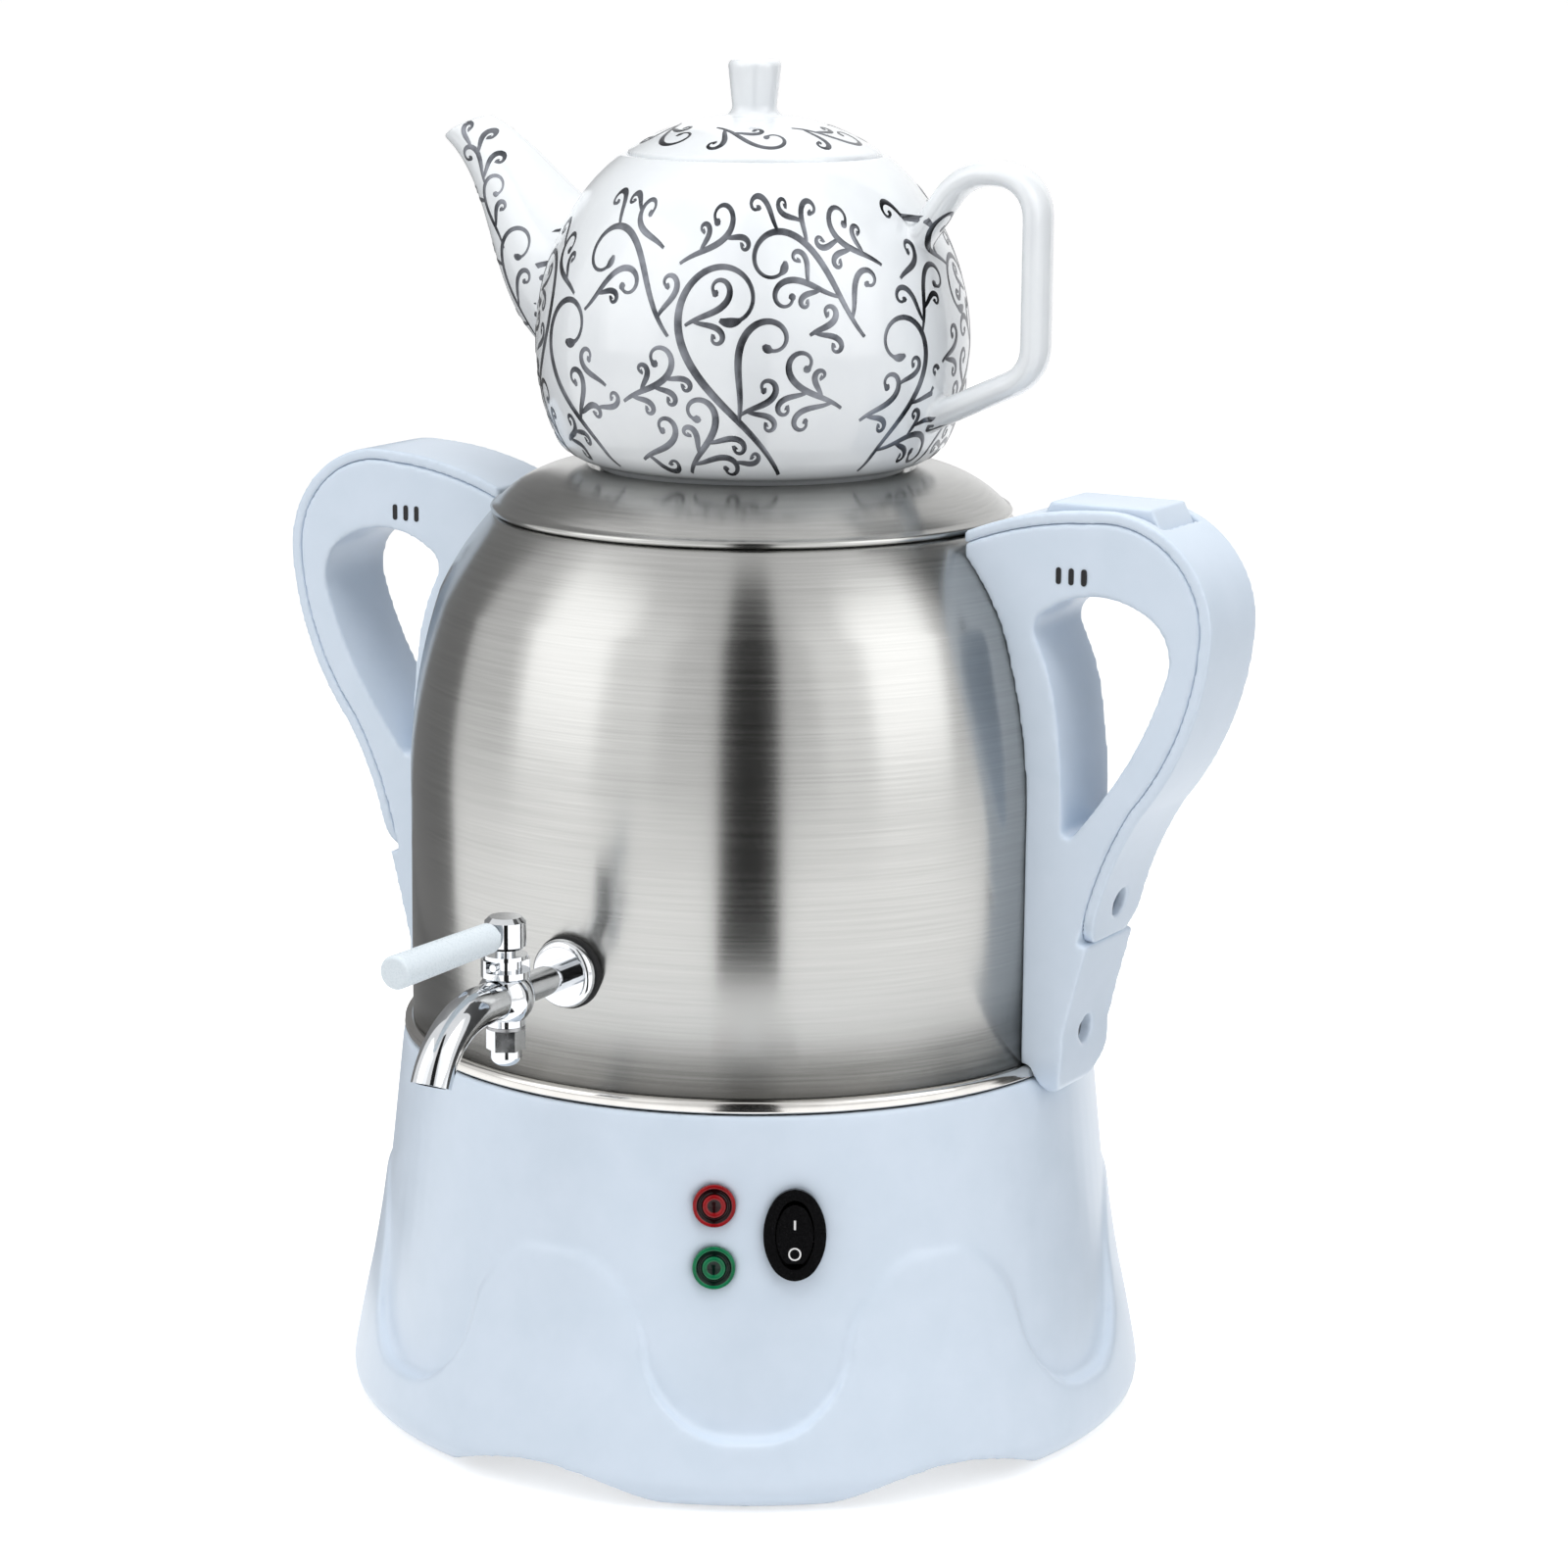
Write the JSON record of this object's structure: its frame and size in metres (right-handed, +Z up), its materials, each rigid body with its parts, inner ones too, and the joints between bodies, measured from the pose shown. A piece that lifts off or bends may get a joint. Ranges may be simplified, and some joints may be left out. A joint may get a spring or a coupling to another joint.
{
  "type": "samovar",
  "caption": "Electric samovar with a steel tank on a plastic base, two loop handles, a front tap and a porcelain teapot on the lid.",
  "frame": {"origin": "on the table, at the middle of the footprint's bounding box; the tank's upright axis stands 20.9 mm behind it", "axes": "+Z up along the tank, -Y towards the front with the switch and lamps, +X to the right as seen from the front"},
  "size_m": [0.2688, 0.267, 0.3766],
  "materials": {
    "white_plastic": "satin moulded, cool white",
    "brushed_steel": "fine brushed",
    "polished_steel": "polished",
    "plated_brass": "bright plated",
    "porcelain": "glazed white porcelain with a silver-grey scroll ornament",
    "black_rubber": "matt",
    "white_silicone": "matt",
    "black_plastic": "satin",
    "dark_plastic": "matt",
    "red_lens": "clear moulded",
    "green_lens": "clear moulded",
    "aluminium": "cast",
    "bare_steel": "zinc plated",
    "brass": "bare",
    "red_lead": "heat-proof sleeve"
  },
  "bodies": {
    "base": {"base_shell": "white_plastic", "base_bottom_cover": "white_plastic", "rubber_feet": "black_rubber", "bottom_cover_screws": "bare_steel", "tank_shell": "brushed_steel", "tank_floor": "brushed_steel", "tank_ring": "polished_steel", "base_gasket": "white_silicone", "heat_plate": "aluminium", "heating_element": "aluminium", "thermostat": "black_plastic", "thermal_fuse": "bare_steel", "tank_studs": "bare_steel", "tank_nuts": "bare_steel", "right_handle_body": "white_plastic", "right_handle_cover": "white_plastic", "right_handle_screws": "bare_steel", "left_handle_body": "white_plastic", "left_handle_cover": "white_plastic", "left_handle_screws": "bare_steel", "button_pin": "bare_steel", "steam_switch": "dark_plastic", "tap_body": "plated_brass", "tap_flange": "plated_brass", "tap_seal": "black_rubber", "tap_inner_seal": "white_silicone", "tap_lock_nut": "brass", "red_lamp_lens": "red_lens", "red_lamp_body": "dark_plastic", "green_lamp_lens": "green_lens", "green_lamp_body": "dark_plastic", "switch_housing": "black_plastic", "switch_contacts": "brass", "inlet_housing": "black_plastic", "inlet_pins": "brass", "inlet_screws": "bare_steel", "lead_live": "red_lead", "lead_earth": "red_lead", "lead_neutral": "red_lead", "lead_heater": "red_lead"},
    "lid": {"tank_lid": "brushed_steel", "lid_inner_ring": "brushed_steel", "lid_seal": "white_silicone"},
    "pot": {"teapot": "porcelain"},
    "pot_lid": {"teapot_lid": "porcelain"},
    "tap_key": {"tap_plug": "plated_brass", "tap_lever_head": "plated_brass", "tap_grip": "white_plastic", "tap_plug_nut": "plated_brass", "tap_washer": "bare_steel", "tap_cap_nut": "plated_brass"},
    "button": {"boil_button": "white_plastic"},
    "rocker": {"rocker": "black_plastic"}
  },
  "joints": [
    {"name": "tank_lid_lift", "type": "slide", "parent": "base", "child": "lid", "axis": [0, 0, 1], "range_m": [0, 0.08]},
    {"name": "teapot_lift", "type": "slide", "parent": "lid", "child": "pot", "axis": [0, 0, 1], "range_m": [0, 0.1]},
    {"name": "teapot_lid_lift", "type": "slide", "parent": "pot", "child": "pot_lid", "axis": [0, 0, 1], "range_m": [0, 0.05]},
    {"name": "tap_turn", "type": "hinge", "parent": "base", "child": "tap_key", "pos_m": [-0.06275, -0.08779, 0.1413], "axis": [0, 0, 1], "range_deg": [0, 90]},
    {"name": "boil_button_press", "type": "hinge", "parent": "base", "child": "button", "pos_m": [0.08444, -0.02785, 0.2573], "axis": [0.5, 0.866, 0], "range_deg": [0, 4]},
    {"name": "rocker_tip", "type": "hinge", "parent": "base", "child": "rocker", "pos_m": [0.0127, -0.07685, 0.07469], "axis": [1, 0, 0], "range_deg": [0, 14]}
  ]
}
